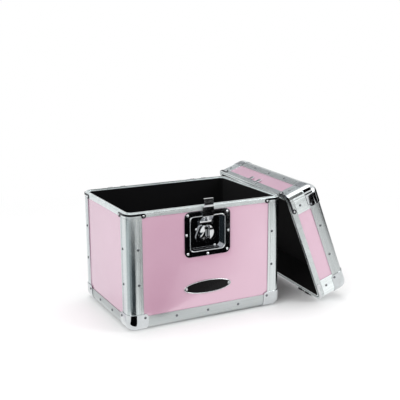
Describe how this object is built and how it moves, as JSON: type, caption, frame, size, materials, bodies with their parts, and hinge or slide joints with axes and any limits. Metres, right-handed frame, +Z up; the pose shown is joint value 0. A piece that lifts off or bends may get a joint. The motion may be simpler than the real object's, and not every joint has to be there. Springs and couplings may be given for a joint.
{
  "type": "record carrying case",
  "caption": "Laminated carrying case with rounded aluminium edges, a recessed butterfly latch with a hook, slip hinges, and a lifted-off lid with a folding handle leaning against its side",
  "frame": {"origin": "on the floor, at the middle of the footprint of case and lid together", "axes": "+X across the case's front towards the lid, +Y away from the latch, +Z up"},
  "size_m": [0.5798, 0.3968, 0.2895],
  "materials": {
    "laminate": "smooth glossy pink laminate on a light backing",
    "aluminium": "satin anodised, drawn along its length",
    "chrome": "bright plated pressed steel",
    "plate": "bare dark oval with a raised bright border",
    "lining": "matt black foam-backed lining",
    "grip": "moulded black rubber"
  },
  "bodies": {
    "case": {"front_panel": "laminate", "base_edge_front": "aluminium", "oval_plate": "plate", "latch_dish": "chrome", "right_panel": "laminate", "base_edge_right": "aluminium", "back_panel": "laminate", "base_edge_back": "aluminium", "case_hinge_right": "chrome", "case_hinge_left": "chrome", "left_panel": "laminate", "base_edge_left": "aluminium", "bottom_panel": "laminate", "corner_post_front_left": "aluminium", "base_corner_front_left": "aluminium", "rim_brace_front_left": "chrome", "corner_post_front_right": "aluminium", "base_corner_front_right": "aluminium", "rim_brace_front_right": "chrome", "corner_post_back_right": "aluminium", "base_corner_back_right": "aluminium", "rim_brace_back_right": "chrome", "corner_post_back_left": "aluminium", "base_corner_back_left": "aluminium", "rim_brace_back_left": "chrome", "case_rim": "aluminium", "case_lining": "lining"},
    "arm": {"latch_arm": "chrome"},
    "key": {"latch_key": "chrome"},
    "wing_right": {"latch_wing_right": "chrome"},
    "wing_left": {"latch_wing_left": "chrome"},
    "lid": {"lid_front_panel": "laminate", "lid_edge_front": "aluminium", "lid_keeper": "chrome", "lid_right_panel": "laminate", "lid_edge_right": "aluminium", "lid_back_panel": "laminate", "lid_edge_back": "aluminium", "lid_hinge_right": "chrome", "lid_hinge_left": "chrome", "lid_left_panel": "laminate", "lid_edge_left": "aluminium", "lid_top_panel": "laminate", "lid_corner_front_left": "aluminium", "lid_post_front_left": "aluminium", "lid_brace_front_left": "chrome", "lid_corner_front_right": "aluminium", "lid_post_front_right": "aluminium", "lid_brace_front_right": "chrome", "lid_corner_back_right": "aluminium", "lid_post_back_right": "aluminium", "lid_brace_back_right": "chrome", "lid_corner_back_left": "aluminium", "lid_post_back_left": "aluminium", "lid_brace_back_left": "chrome", "lid_rim": "aluminium", "lid_lining": "lining", "handle_base": "chrome"},
    "bail": {"handle_bail": "chrome", "handle_grip": "grip"}
  },
  "joints": [
    {"name": "key_turn", "type": "hinge", "parent": "case", "child": "key", "pos_m": [-0.09642, -0.15786, 0.201], "axis": [0, -1, 0], "range_deg": [0, 180]},
    {"name": "arm_slide", "type": "slide", "parent": "case", "child": "arm", "axis": [0, 0, -1], "range_m": [0, 0.008]},
    {"name": "wing_right_fold", "type": "hinge", "parent": "key", "child": "wing_right", "pos_m": [-0.09322, -0.15356, 0.201], "axis": [0, 0, -1], "range_deg": [0, 85]},
    {"name": "wing_left_fold", "type": "hinge", "parent": "key", "child": "wing_left", "pos_m": [-0.09962, -0.15356, 0.201], "axis": [0, 0, 1], "range_deg": [0, 85]},
    {"name": "lid_lift", "type": "slide", "parent": "case", "child": "lid", "axis": [0, 0, 1], "range_m": [0, 0.3]},
    {"name": "bail_fold", "type": "hinge", "parent": "lid", "child": "bail", "pos_m": [0.24015, -0.00422, 0.1666], "axis": [-0.0785, -0.9969, 0], "range_deg": [0, 180]}
  ],
  "couplings": [
    {"joint": "key_turn", "follows": "arm_slide", "rad_per_m": 392.69}
  ]
}
